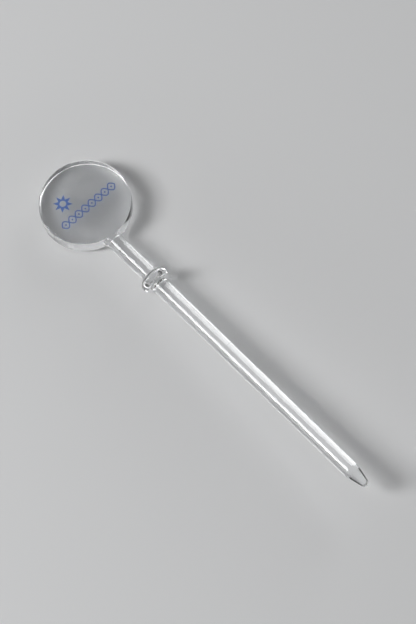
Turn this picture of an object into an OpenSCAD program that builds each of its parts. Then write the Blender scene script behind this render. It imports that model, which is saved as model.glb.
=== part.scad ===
// Glass rod tool with a coin-shaped head.
// A short stem joins the rim of a thick clear disc to a round collar bead, and a long
// shaft runs on from the collar to a blunt, tapered tip. Every piece is solid glass, and
// the pieces are fused end to end.
// The origin is the centre of the disc's underside, +X runs along the rod to the tip.

/* [Disc head] */
// Diameter of the disc
disc_d = 28; // [23:1:40]
// Thickness of the disc
disc_t = 5.3; // [5.1:0.1:8]
// Radius of the fire-polished edges of the disc
disc_edge_r = 0.45; // [0.2:0.05:0.8]
// Sideways distance from the disc's centre to the rod's axis
disc_offset = 1.6; // [0:0.1:3]

/* [Rod] */
// Diameter of the solid rod
rod_d = 5; // [4:0.1:5]
// Length from the far edge of the disc to the end of the tip
overall_length = 140; // [110:1:180]

/* [Collar] */
// Distance from the disc's centre to the middle of the collar
collar_station = 32.6; // [24:0.2:45]
// Outer diameter of the collar
collar_d = 9.2; // [9.2:0.1:12]
// Width of the collar along the rod
collar_w = 3; // [2.2:0.1:3]

/* [Welds] */
// Length of the flared foot between the disc's rim and the stem
foot_length = 2; // [1.2:0.1:3]
// Height by which the foot flares out from the rod at the disc's rim
foot_flare = 0.5; // [0.2:0.05:0.8]
// Radius of the weld's fillet on the stem side of the collar
stem_fillet_r = 0.4; // [0.2:0.05:0.6]
// Radius of the weld's fillet on the shaft side of the collar
shaft_fillet_r = 0.55; // [0.2:0.05:0.6]

/* [Tip] */
// Length of the tip, from its crease with the shaft to its end
tip_length = 6.6; // [5:0.1:15]
// Radius of the rounded end
tip_end_r = 1.25; // [0.6:0.05:1.8]

/* [Face ornament] */
// Thickness of the fired enamel
enamel_t = 0.04; // [0.02:0.01:0.1]
// Width of the enamel lines
line_w = 0.36; // [0.2:0.02:0.6]
// Number of full waves in the interlaced band
band_waves = 4; // [2:1:5]
// Length of one wave
wave_length = 5.2; // [3:0.1:5.6]
// Height of the waves on each side of the band's middle
wave_height = 1.3; // [0.6:0.05:1.6]
// Radius of the star, out to its points
star_r = 3; // [1.5:0.1:3.4]

/* [Hidden] */
disc_r = disc_d / 2;
rod_r = rod_d / 2;
rod_z = disc_t / 2;
tip_end = overall_length - disc_r;
crease = tip_end - tip_length;
foot_end = disc_r + foot_length;
collar_start = collar_station - collar_w / 2;
collar_end = collar_station + collar_w / 2;
stem_end = collar_start - stem_fillet_r;
shaft_start = collar_end + shaft_fillet_r;

// The foot starts inside the rim, so that the rim's curve can cut its end to fit, and its
// two flats lie just below the disc's faces.
foot_root_depth = 2.5;
foot_root = disc_r - foot_root_depth;
foot_inset = (disc_t - rod_d) / 4;

// Half the wave band's length, and where the band and the star stand on the disc's face.
band_half = band_waves * wave_length / 2;
band_at = [1.8, -0.1];
band_turn = 90;
star_at = [-4.1, -5.2];
star_points = 8;
star_waist = 0.5;
star_eye = 0.34;
dot_r = 0.26;
wave_step = 15;
tip_arc_steps = 12;

$fn = 96;

// Puts a shape that stands on +Z onto the rod's axis, rising from station x.
module on_rod(x) {
    translate([x, -disc_offset, rod_z]) rotate([0, 90, 0]) children();
}

// The disc's outline from its axis out to the rim, with both edges rounded.
module disc_profile() {
    square([disc_r - disc_edge_r, disc_t]);
    translate([0, disc_edge_r]) square([disc_r, disc_t - 2 * disc_edge_r]);
    for (z = [disc_edge_r, disc_t - disc_edge_r])
        translate([disc_r - disc_edge_r, z]) circle(disc_edge_r);
}

module disc_head() {
    color([0.86, 0.90, 0.95, 0.5]) rotate_extrude() disc_profile();
}

// The foot's outline: a short parallel root, then a concave flare down to the rod.
module foot_profile() {
    difference() {
        square([rod_r + foot_flare, foot_end - foot_root]);
        translate([rod_r + foot_length, foot_end - foot_root]) circle(foot_length);
    }
}

// The foot is pressed flat above and below, and its root follows the disc's rim.
module disc_weld() {
    color([0.80, 0.86, 0.92, 0.5]) difference() {
        intersection() {
            on_rod(foot_root) rotate_extrude() foot_profile();
            translate([0, -disc_r, foot_inset])
                cube([2 * disc_r, disc_d, disc_t - 2 * foot_inset]);
        }
        rotate_extrude() disc_profile();
    }
}

// A length of the plain rod between two stations.
module rod(from, to) {
    color([0.84, 0.88, 0.93, 0.5]) on_rod(from) cylinder(r = rod_r, h = to - from);
}

module stem() rod(foot_end, stem_end);

module shaft() rod(shaft_start, crease);

// The collar is a solid bead with a fully rounded edge.
module collar() {
    edge_r = collar_w / 2;
    core_r = collar_d / 2 - edge_r;
    color([0.88, 0.91, 0.96, 0.5]) on_rod(collar_start) rotate_extrude() {
        square([core_r, collar_w]);
        translate([core_r, edge_r]) intersection() {
            circle(edge_r);
            translate([0, -edge_r]) square(collar_w);
        }
    }
}

// A solid weld that flares from the rod out to a concave fillet of radius r.
module collar_weld(r) {
    color([0.78, 0.84, 0.92, 0.5]) rotate_extrude() difference() {
        square([rod_r + r, r]);
        translate([rod_r + r, r]) circle(r);
    }
}

module collar_weld_stem() {
    on_rod(collar_start) mirror([0, 0, 1]) collar_weld(stem_fillet_r);
}

module collar_weld_shaft() {
    on_rod(collar_end) collar_weld(shaft_fillet_r);
}

// Half the angle of the tip's cone, which runs from the crease into the rounded end.
function tip_slope() =
    let (to_centre = tip_length - tip_end_r)
    atan2(rod_r, to_centre) - asin(tip_end_r / norm([to_centre, rod_r]));

module tip() {
    end_arc = [for (i = [0 : tip_arc_steps])
        let (a = tip_slope() + (90 - tip_slope()) * i / tip_arc_steps)
        [tip_end_r * cos(a), tip_length - tip_end_r + tip_end_r * sin(a)]];
    color([0.84, 0.88, 0.93, 0.5])
        on_rod(crease) rotate_extrude() polygon(concat([[0, 0], [rod_r, 0]], end_arc));
}

// One point of a wave, s degrees along it and offset sideways by half a line's width.
function wave_point(s, sign, side) =
    let (slope = sign * wave_height * cos(s) * 360 / wave_length * PI / 180)
    [s / 360 * wave_length - band_half, sign * wave_height * sin(s)]
    + side * line_w / 2 * [-slope, 1] / norm([slope, 1]);

module wave(sign) {
    last = 360 * band_waves;
    polygon(concat([for (s = [0 : wave_step : last]) wave_point(s, sign, 1)],
                   [for (s = [last : -wave_step : 0]) wave_point(s, sign, -1)]));
}

// Two waves that cross, with a dot in each eye between them.
module wave_band() {
    wave(1);
    wave(-1);
    for (i = [0 : 2 * band_waves - 1])
        translate([(i + 0.5) * wave_length / 2 - band_half, 0]) circle(dot_r);
}

module star() {
    difference() {
        polygon([for (i = [0 : 2 * star_points - 1])
            let (r = i % 2 == 0 ? star_r : star_r * star_waist, a = 180 * i / star_points)
            [r * cos(a), r * sin(a)]]);
        circle(star_r * star_eye);
    }
}

module face_ornament() {
    color([0.42, 0.50, 0.74]) translate([0, 0, disc_t]) linear_extrude(enamel_t) {
        translate(band_at) rotate(band_turn) wave_band();
        translate(star_at) star();
    }
}

disc_head();
disc_weld();
stem();
collar();
collar_weld_stem();
collar_weld_shaft();
shaft();
tip();
face_ornament();
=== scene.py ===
"""Looks for a clear, lampworked glass rod tool that lies on a pale table.

Each piece of glass is its own closed mesh. Where two pieces are fused, both carry the seam
material on the faces that touch, so light passes from one to the next without a break.
"""
import math

import bmesh
import bpy
from mathutils import Matrix, Vector, noise


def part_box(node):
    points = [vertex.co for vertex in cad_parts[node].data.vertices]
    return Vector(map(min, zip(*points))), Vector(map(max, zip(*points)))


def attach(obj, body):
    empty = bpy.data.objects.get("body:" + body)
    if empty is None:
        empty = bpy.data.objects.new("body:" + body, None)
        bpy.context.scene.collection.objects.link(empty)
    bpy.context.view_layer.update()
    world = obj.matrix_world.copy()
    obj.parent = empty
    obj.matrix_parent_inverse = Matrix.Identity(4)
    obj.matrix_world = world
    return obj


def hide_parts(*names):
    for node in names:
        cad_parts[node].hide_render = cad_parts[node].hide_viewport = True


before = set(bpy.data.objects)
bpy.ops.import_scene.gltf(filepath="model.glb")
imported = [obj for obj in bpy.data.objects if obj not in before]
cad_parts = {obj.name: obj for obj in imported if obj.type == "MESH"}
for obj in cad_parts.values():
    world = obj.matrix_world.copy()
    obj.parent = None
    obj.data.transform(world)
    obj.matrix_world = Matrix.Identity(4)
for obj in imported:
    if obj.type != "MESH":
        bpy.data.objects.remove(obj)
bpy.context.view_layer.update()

MM = 0.001
TURNS = 192                 # facets round every piece that is turned on the rod's axis
ARC = 14                    # facets along each rounded edge
PATH_DEPTH = 32             # how many glass surfaces a ray may pass through

# ---------------------------------------------------------------- sizes from the frame

disc_lo, disc_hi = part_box("disc_head")
shaft_lo, shaft_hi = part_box("shaft")
collar_lo, collar_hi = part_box("collar")
weld_lo, weld_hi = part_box("disc_weld")
stem_weld_lo, stem_weld_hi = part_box("collar_weld_stem")
shaft_weld_lo, shaft_weld_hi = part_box("collar_weld_shaft")
tip_lo, tip_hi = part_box("tip")
stem_lo, stem_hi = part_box("stem")

DISC_R = (disc_hi.x - disc_lo.x) / 2
DISC_T = disc_hi.z - disc_lo.z
EDGE_R = 0.45 * MM
ROD_R = (shaft_hi.y - shaft_lo.y) / 2
ROD_Y = (shaft_hi.y + shaft_lo.y) / 2
ROD_Z = (shaft_hi.z + shaft_lo.z) / 2
COLLAR_R = (collar_hi.y - collar_lo.y) / 2
COLLAR_EDGE_R = (collar_hi.x - collar_lo.x) / 2


def resting_slope():
    """The floor's slope along X: it touches the disc's far edge and the collar."""
    far = Vector((disc_lo.x + EDGE_R, EDGE_R))
    bead = Vector(((collar_lo.x + collar_hi.x) / 2, ROD_Z - COLLAR_R + COLLAR_EDGE_R))
    run = bead - far
    slope = math.atan2(run.y, run.x) - math.asin((COLLAR_EDGE_R - EDGE_R) / run.length)
    down = Vector((math.sin(slope), -math.cos(slope)))
    return slope, far + down * EDGE_R


SLOPE, TOUCH = resting_slope()
FLOOR_UP = Vector((-math.sin(SLOPE), 0, math.cos(SLOPE)))
FLOOR_AT = Vector((TOUCH.x, 0, TOUCH.y))

# ---------------------------------------------------------------- camera

VIEW_AZIMUTH = 58.61        # degrees round from looking along +Y
VIEW_ELEVATION = 64.77
VIEW_ROLL = -11.93
VIEW_DISTANCE = 2182.1 * MM
VIEW_LENS = 424.27
LOOK_AT = Vector((51.77, 2.62, 2.65)) * MM


def make_camera():
    a, e = math.radians(VIEW_AZIMUTH), math.radians(VIEW_ELEVATION)
    back = Vector((math.sin(a) * math.cos(e), -math.cos(a) * math.cos(e), math.sin(e)))
    camera = bpy.data.objects.new("camera", bpy.data.cameras.new("camera"))
    camera.data.lens = VIEW_LENS
    camera.data.clip_end = 20
    camera.location = LOOK_AT + back * VIEW_DISTANCE
    roll = Matrix.Rotation(math.radians(VIEW_ROLL), 3, "Z")
    turn = (-back).to_track_quat("-Z", "Y").to_matrix() @ roll
    camera.rotation_mode = "QUATERNION"
    camera.rotation_quaternion = turn.to_quaternion()
    bpy.context.collection.objects.link(camera)
    bpy.context.scene.camera = camera
    return turn


CAMERA_TURN = make_camera()
RIGHT = CAMERA_TURN.col[0]
RIGHT = (RIGHT - FLOOR_UP * RIGHT.dot(FLOOR_UP)).normalized()
AWAY = FLOOR_UP.cross(RIGHT)

# ---------------------------------------------------------------- node helpers


def new_material(name):
    material = bpy.data.materials.new(name)
    material.use_nodes = True
    material.node_tree.nodes.clear()
    return material, material.node_tree


def add(tree, kind, at=None, **settings):
    node = tree.nodes.new(kind)
    for key, value in settings.items():
        if hasattr(node, key):
            setattr(node, key, value)
        else:
            node.inputs[key.replace("_", " ")].default_value = value
    return node


def link(tree, source, target):
    tree.links.new(source, target)


# ---------------------------------------------------------------- stage

FLOOR_WIDTH = 12
LAMP_DISTANCE = 1.5

def make_floor():
    bpy.ops.mesh.primitive_plane_add(size=FLOOR_WIDTH)
    floor = bpy.context.object
    floor.name = "floor"
    floor.location = FLOOR_AT
    floor.rotation_mode = "QUATERNION"
    floor.rotation_quaternion = FLOOR_UP.to_track_quat("Z", "Y")
    material, tree = new_material("pale_floor")
    surface = add(tree, "ShaderNodeBsdfPrincipled", Roughness=0.6, IOR=1.45)
    surface.inputs["Base Color"].default_value = (0.74, 0.745, 0.75, 1)
    out = add(tree, "ShaderNodeOutputMaterial")
    link(tree, surface.outputs[0], out.inputs[0])
    floor.data.materials.append(material)


def softbox(name, turn, lift, size, power):
    """An area lamp, turn degrees round from the picture's right and lift degrees up."""
    a, e = math.radians(turn), math.radians(lift)
    side = RIGHT * math.cos(a) + AWAY * math.sin(a)
    out = side * math.cos(e) + FLOOR_UP * math.sin(e)
    lamp = bpy.data.lights.new(name, "AREA")
    lamp.shape = "RECTANGLE"
    lamp.size, lamp.size_y = size
    lamp.energy = power
    body = bpy.data.objects.new(name, lamp)
    body.location = LOOK_AT + out * LAMP_DISTANCE
    body.rotation_mode = "QUATERNION"
    body.rotation_quaternion = (-out).to_track_quat("-Z", "Y")
    body.visible_camera = False
    bpy.context.collection.objects.link(body)


def make_world():
    """A studio that is pale at the floor, bright in a low ring, and dark above it."""
    world = bpy.data.worlds.new("studio")
    bpy.context.scene.world = world
    world.use_nodes = True
    tree = world.node_tree
    tree.nodes.clear()
    place = add(tree, "ShaderNodeTexCoord")
    split = add(tree, "ShaderNodeSeparateXYZ")
    ramp = add(tree, "ShaderNodeValToRGB")
    back = add(tree, "ShaderNodeBackground")
    out = add(tree, "ShaderNodeOutputWorld")
    link(tree, place.outputs["Generated"], split.inputs[0])
    link(tree, split.outputs["Z"], ramp.inputs[0])
    link(tree, ramp.outputs[0], back.inputs[0])
    link(tree, back.outputs[0], out.inputs[0])
    stops = ramp.color_ramp.elements
    pale, ring, blue_cast = (0.55, 0.56, 0.57, 1), (4.5, 4.5, 4.5, 1), 1.03
    stops[0].position, stops[0].color = 0.0, pale
    stops[1].position, stops[1].color = 0.10, ring
    for position, level in ((0.22, 0.04), (0.75, 0.04), (0.95, 0.06)):
        stop = stops.new(position)
        stop.color = (level, level, level * blue_cast, 1)


make_floor()
make_world()
softbox("tall_softbox", 192, 37, (0.45, 0.60), 17.0)
softbox("top_softbox", 192, 54, (0.45, 0.22), 1.9)
softbox("low_softbox", 60, 17, (0.60, 0.45), 4.0)
bpy.context.scene.view_settings.view_transform = "Standard"

# ---------------------------------------------------------------- materials

GLASS_IOR = 1.47
SPECK_SIZE = 0.05           # of the distance between two specks
SPECK_SCALE = 450.0         # specks of dust and fine seeds, about 2 mm apart
SMUDGE_SCALE = 160.0


def spread(tree, source, low, high, to_low, to_high):
    """Maps the stretch from low to high onto the one from to_low to to_high, clamped."""
    node = add(tree, "ShaderNodeMapRange", From_Min=low, From_Max=high,
               To_Min=to_low, To_Max=to_high)
    link(tree, source, node.inputs["Value"])
    return node.outputs[0]


def glass(name, stretch, wave_scale, wave_depth):
    """Clear glass. Its skin has faint waves, stretched as the glass was drawn, the smudges
    of a hand, and a few specks."""
    material, tree = new_material(name)
    place = add(tree, "ShaderNodeTexCoord")
    mapping = add(tree, "ShaderNodeMapping", Scale=stretch)
    waves = add(tree, "ShaderNodeTexNoise", Scale=wave_scale, Detail=2.0)
    bump = add(tree, "ShaderNodeBump", Strength=1.0, Distance=wave_depth)
    smudge = add(tree, "ShaderNodeTexNoise", Scale=SMUDGE_SCALE, Detail=4.0)
    specks = add(tree, "ShaderNodeTexVoronoi", Scale=SPECK_SCALE)
    rough = add(tree, "ShaderNodeMath", operation="ADD")
    surface = add(tree, "ShaderNodeBsdfPrincipled", IOR=GLASS_IOR)
    surface.inputs["Base Color"].default_value = (0.985, 0.992, 1.0, 1)
    surface.inputs["Transmission Weight"].default_value = 1.0
    out = add(tree, "ShaderNodeOutputMaterial")
    link(tree, place.outputs["Object"], mapping.inputs[0])
    link(tree, mapping.outputs[0], waves.inputs["Vector"])
    link(tree, waves.outputs["Fac"], bump.inputs["Height"])
    link(tree, bump.outputs[0], surface.inputs["Normal"])
    link(tree, place.outputs["Object"], smudge.inputs["Vector"])
    link(tree, place.outputs["Object"], specks.inputs["Vector"])
    link(tree, spread(tree, smudge.outputs["Fac"], 0.55, 0.8, 0.0, 0.05), rough.inputs[0])
    link(tree, spread(tree, specks.outputs["Distance"], SPECK_SIZE, SPECK_SIZE * 1.6, 0.6, 0.0),
         rough.inputs[1])
    link(tree, rough.outputs[0], surface.inputs["Roughness"])
    link(tree, surface.outputs[0], out.inputs[0])
    return material


def seam_material():
    material, tree = new_material("fused_seam")
    clear = add(tree, "ShaderNodeBsdfTransparent")
    out = add(tree, "ShaderNodeOutputMaterial")
    link(tree, clear.outputs[0], out.inputs[0])
    return material


def enamel():
    material, tree = new_material("fired_blue_enamel")
    place = add(tree, "ShaderNodeTexCoord")
    grain = add(tree, "ShaderNodeTexNoise", Scale=9000.0, Detail=3.0)
    ramp = add(tree, "ShaderNodeValToRGB")
    surface = add(tree, "ShaderNodeBsdfPrincipled", Roughness=0.42, IOR=1.5)
    out = add(tree, "ShaderNodeOutputMaterial")
    link(tree, place.outputs["Object"], grain.inputs["Vector"])
    link(tree, grain.outputs["Fac"], ramp.inputs[0])
    link(tree, ramp.outputs[0], surface.inputs["Base Color"])
    link(tree, surface.outputs[0], out.inputs[0])
    stops = ramp.color_ramp.elements
    stops[0].position, stops[0].color = 0.3, (0.07, 0.14, 0.38, 1)
    stops[1].position, stops[1].color = 0.7, (0.11, 0.20, 0.51, 1)
    return material


DISC_GLASS = glass("pressed_disc_glass", (1, 1, 1), 260.0, 0.010 * MM)
ROD_GLASS = glass("drawn_rod_glass", (0.03, 1, 1), 900.0, 0.0005 * MM)
COLLAR_GLASS = glass("turned_bead_glass", (1, 1, 1), 420.0, 0.008 * MM)
WELD_GLASS = glass("melted_weld_glass", (1, 1, 1), 700.0, 0.010 * MM)
SEAM = seam_material()
ENAMEL = enamel()

# ---------------------------------------------------------------- mesh helpers


def shade(form):
    """Smooth skin (material 0), flat seams (material 1), and a crease where they meet."""
    for face in form.faces:
        face.smooth = face.material_index == 0
    for edge in form.edges:
        kinds = {face.material_index for face in edge.link_faces}
        edge.smooth = len(kinds) == 1


def finish_piece(name, form, skin, slot, *nodes):
    """Turns a bmesh into a piece: material 0 is its skin and material 1 its fused seams."""
    shade(form)
    mesh = bpy.data.meshes.new(name)
    form.to_mesh(mesh)
    form.free()
    mesh.materials.append(skin)
    mesh.materials.append(SEAM)
    piece = bpy.data.objects.new(name, mesh)
    bpy.context.collection.objects.link(piece)
    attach(piece, "root")
    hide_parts(*nodes)
    return piece


def turned(outline, seams=()):
    """A closed solid turned on the rod's axis. outline runs from the axis back to the axis
    as (x, radius) or (x, half width, half height), and seams lists its fused stretches."""
    form = bmesh.new()
    rings = []
    for point in outline:
        x, wide, high = point if len(point) == 3 else (point[0], point[1], point[1])
        if wide == 0:
            rings.append([form.verts.new((x, ROD_Y, ROD_Z))])
            continue
        ring = []
        for i in range(TURNS):
            a = 2 * math.pi * i / TURNS
            ring.append(form.verts.new((x, ROD_Y + wide * math.cos(a), ROD_Z + high * math.sin(a))))
        rings.append(ring)
    for step, (one, two) in enumerate(zip(rings, rings[1:])):
        for i in range(TURNS):
            j = (i + 1) % TURNS
            if len(one) == 1:
                face = form.faces.new((one[0], two[j], two[i]))
            elif len(two) == 1:
                face = form.faces.new((one[i], one[j], two[0]))
            else:
                face = form.faces.new((one[i], one[j], two[j], two[i]))
            face.material_index = 1 if step in seams else 0
    bmesh.ops.recalc_face_normals(form, faces=form.faces)
    return form


def arc(x, radius_at, r, start, end, steps=ARC):
    """Points (x, radius) on an arc of radius r round (x, radius_at), in degrees."""
    points = []
    for i in range(steps + 1):
        a = math.radians(start + (end - start) * i / steps)
        points.append((x + r * math.cos(a), radius_at + r * math.sin(a)))
    return points


# ---------------------------------------------------------------- rod, collar, tip

RING_GAP = 2.0 * MM
SAG = 0.002 * MM            # how much a hand-drawn rod varies in radius
WANDER_LENGTH = 9 * MM      # the distance over which it varies
TIP_END_R = 1.25 * MM


def rod_form(start, end, seed):
    """A plain rod whose radius wanders a little between its two true ends."""
    count = max(4, round((end - start) / RING_GAP))
    outline = [(start, 0), (start, ROD_R)]
    for i in range(1, count):
        x = start + (end - start) * i / count
        fade = min(1.0, 3 * min(i, count - i) / count)
        wander = 0.5 + 0.5 * noise.noise(Vector((x / WANDER_LENGTH, seed, 0)))
        outline.append((x, ROD_R - SAG * fade * wander))
    outline += [(end, ROD_R), (end, 0)]
    return turned(outline, seams=(0, len(outline) - 2))


def collar_form():
    """A solid bead with a fully rounded edge. Its flats fit the fillets on both sides."""
    start, end = collar_lo.x, collar_hi.x
    core = COLLAR_R - COLLAR_EDGE_R
    stem_side = (stem_weld_hi.y - stem_weld_lo.y) / 2
    shaft_side = (shaft_weld_hi.y - shaft_weld_lo.y) / 2
    outline = [(start, 0), (start, stem_side)]
    outline += arc((start + end) / 2, core, COLLAR_EDGE_R, 180, 0, 3 * ARC)
    outline += [(end, shaft_side), (end, 0)]
    return turned(outline, seams=(0, len(outline) - 2))


def collar_weld_form(thick_at, thin_at):
    """A concave fillet from the collar's flank at thick_at down to the rod at thin_at."""
    r = abs(thin_at - thick_at)
    if thin_at > thick_at:
        curve = arc(thin_at, ROD_R + r, r, 180, 270)
    else:
        curve = arc(thin_at, ROD_R + r, r, 0, -90)
    outline = [(thick_at, 0), *curve, (thin_at, 0)]
    return turned(outline, seams=(0, len(outline) - 2))


def tip_form():
    """A cone from the shaft's end that runs smoothly into a rounded end."""
    start, end = tip_lo.x, tip_hi.x
    to_centre = end - TIP_END_R - start
    lean = math.atan2(ROD_R, to_centre) - math.asin(TIP_END_R / math.hypot(to_centre, ROD_R))
    curve = arc(end - TIP_END_R, 0, TIP_END_R, 90 - math.degrees(lean), 0, 2 * ARC)
    curve[-1] = (end, 0)
    side = []
    rounds = 6
    for i in range(1, rounds):
        t = i / rounds
        x = start + (curve[0][0] - start) * t
        side.append((x, ROD_R + (curve[0][1] - ROD_R) * t))
    outline = [(start, 0), (start, ROD_R), *side, *curve]
    return turned(outline, seams=(0,))


finish_piece("stem_rod", rod_form(stem_lo.x, stem_hi.x, 1.5), ROD_GLASS, "rod_glass", "stem")
finish_piece("long_shaft", rod_form(shaft_lo.x, shaft_hi.x, 7.5), ROD_GLASS, "rod_glass", "shaft")
finish_piece("collar_bead", collar_form(), COLLAR_GLASS, "collar_glass", "collar")
finish_piece("collar_fillet_stem", collar_weld_form(stem_weld_hi.x, stem_weld_lo.x),
             WELD_GLASS, "weld_glass", "collar_weld_stem")
finish_piece("collar_fillet_shaft", collar_weld_form(shaft_weld_lo.x, shaft_weld_hi.x),
             WELD_GLASS, "weld_glass", "collar_weld_shaft")
finish_piece("drawn_tip", tip_form(), ROD_GLASS, "rod_glass", "tip")

# ---------------------------------------------------------------- disc and its weld

BARREL = 0.06 * MM          # how much less wide the disc's rim is at its edges
FLAT_RING = 0.3 * MM        # a narrow ring of the flat face, next to its rounded edge
DISC_TURNS = 256
PRINT_GAP = 0.004 * MM      # how far the disc's face lies below the print on it
RECESS = 0.03 * MM          # how deep the foot is sunk into the disc's rim
FOOT_ROOT = 0.6 * MM        # how much further into the disc it starts, before it is cut
FOOT_CURVE = 2.0 * MM       # the length of its flare down to the rod


def disc_outline():
    """(radius, z) from the axis under the disc, round the rim, to the axis on top."""
    inner = DISC_R - BARREL - EDGE_R
    outline = [(0, 0), (0.5 * inner, 0), (inner - FLAT_RING, 0), (inner, 0)]
    for i in range(1, ARC + 1):
        a = math.radians(90 * i / ARC)
        outline.append((inner + EDGE_R * math.sin(a), EDGE_R - EDGE_R * math.cos(a)))
    for i in range(1, ARC):
        t = i / ARC
        z = EDGE_R + (DISC_T - 2 * EDGE_R) * t
        outline.append((DISC_R - BARREL * (2 * t - 1) ** 2, z))
    top = DISC_T - PRINT_GAP    # the upper face and its edge mirror the lower ones
    return outline + [(r, top - z) for r, z in outline[ARC + 3::-1]]


def disc_form(inset=0.0):
    """The plain disc, or the same shape with its whole skin about inset further in."""
    form = bmesh.new()
    rings = []
    middle = DISC_T / 2
    for r, z in disc_outline():
        r *= 1 - inset / DISC_R
        z = middle + (z - middle) * (1 - inset / middle)
        if r == 0:
            rings.append([form.verts.new((0, 0, z))])
            continue
        rings.append([form.verts.new((r * math.cos(2 * math.pi * i / DISC_TURNS),
                                      r * math.sin(2 * math.pi * i / DISC_TURNS), z))
                      for i in range(DISC_TURNS)])
    for one, two in zip(rings, rings[1:]):
        for i in range(DISC_TURNS):
            j = (i + 1) % DISC_TURNS
            if len(one) == 1:
                form.faces.new((one[0], two[j], two[i]))
            elif len(two) == 1:
                form.faces.new((one[i], one[j], two[0]))
            else:
                form.faces.new((one[i], one[j], two[j], two[i]))
    bmesh.ops.recalc_face_normals(form, faces=form.faces)
    return form


def foot_form():
    """The foot's full shape, from inside the disc's rim out to the stem."""
    start, end = weld_lo.x - FOOT_ROOT, weld_hi.x
    wide = (weld_hi.y - weld_lo.y) / 2 - ROD_R
    high = (weld_hi.z - weld_lo.z) / 2 - ROD_R
    outline = [(start, 0, 0), (start, ROD_R + wide, ROD_R + high)]
    for i in range(2 * ARC + 1):
        t = i / (2 * ARC)
        x = end - FOOT_CURVE + FOOT_CURVE * t
        drop = (1 - t) ** 2
        outline.append((x, ROD_R + wide * drop, ROD_R + high * drop))
    outline.append((end, 0, 0))
    return turned(outline, seams=(0, len(outline) - 2))


def cut(piece, form):
    """Cuts form out of piece. The cut faces are fused seams."""
    mesh = bpy.data.meshes.new("cutter")
    for face in form.faces:
        face.material_index = 0
    form.to_mesh(mesh)
    form.free()
    mesh.materials.append(SEAM)
    cutter = bpy.data.objects.new("cutter", mesh)
    bpy.context.collection.objects.link(cutter)
    modifier = piece.modifiers.new("cut", "BOOLEAN")
    modifier.object = cutter
    modifier.operation = "DIFFERENCE"
    modifier.solver = "EXACT"
    modifier.material_mode = "TRANSFER"
    bpy.context.view_layer.objects.active = piece
    bpy.ops.object.modifier_apply(modifier=modifier.name)
    bpy.data.objects.remove(cutter)
    result = bmesh.new()
    result.from_mesh(piece.data)
    shade(result)
    result.to_mesh(piece.data)
    result.free()


foot = finish_piece("disc_foot", foot_form(), WELD_GLASS, "weld_glass", "disc_weld")
cut(foot, disc_form(RECESS))
disc = finish_piece("clear_disc", disc_form(), DISC_GLASS, "disc_glass", "disc_head")
foot_copy = bmesh.new()
foot_copy.from_mesh(foot.data)
cut(disc, foot_copy)

# ---------------------------------------------------------------- ornament

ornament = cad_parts["face_ornament"]
for slot in ornament.material_slots:
    slot.material = ENAMEL

settings = bpy.context.scene.cycles
settings.max_bounces = PATH_DEPTH
settings.transmission_bounces = PATH_DEPTH
settings.glossy_bounces = 12
settings.transparent_max_bounces = 48
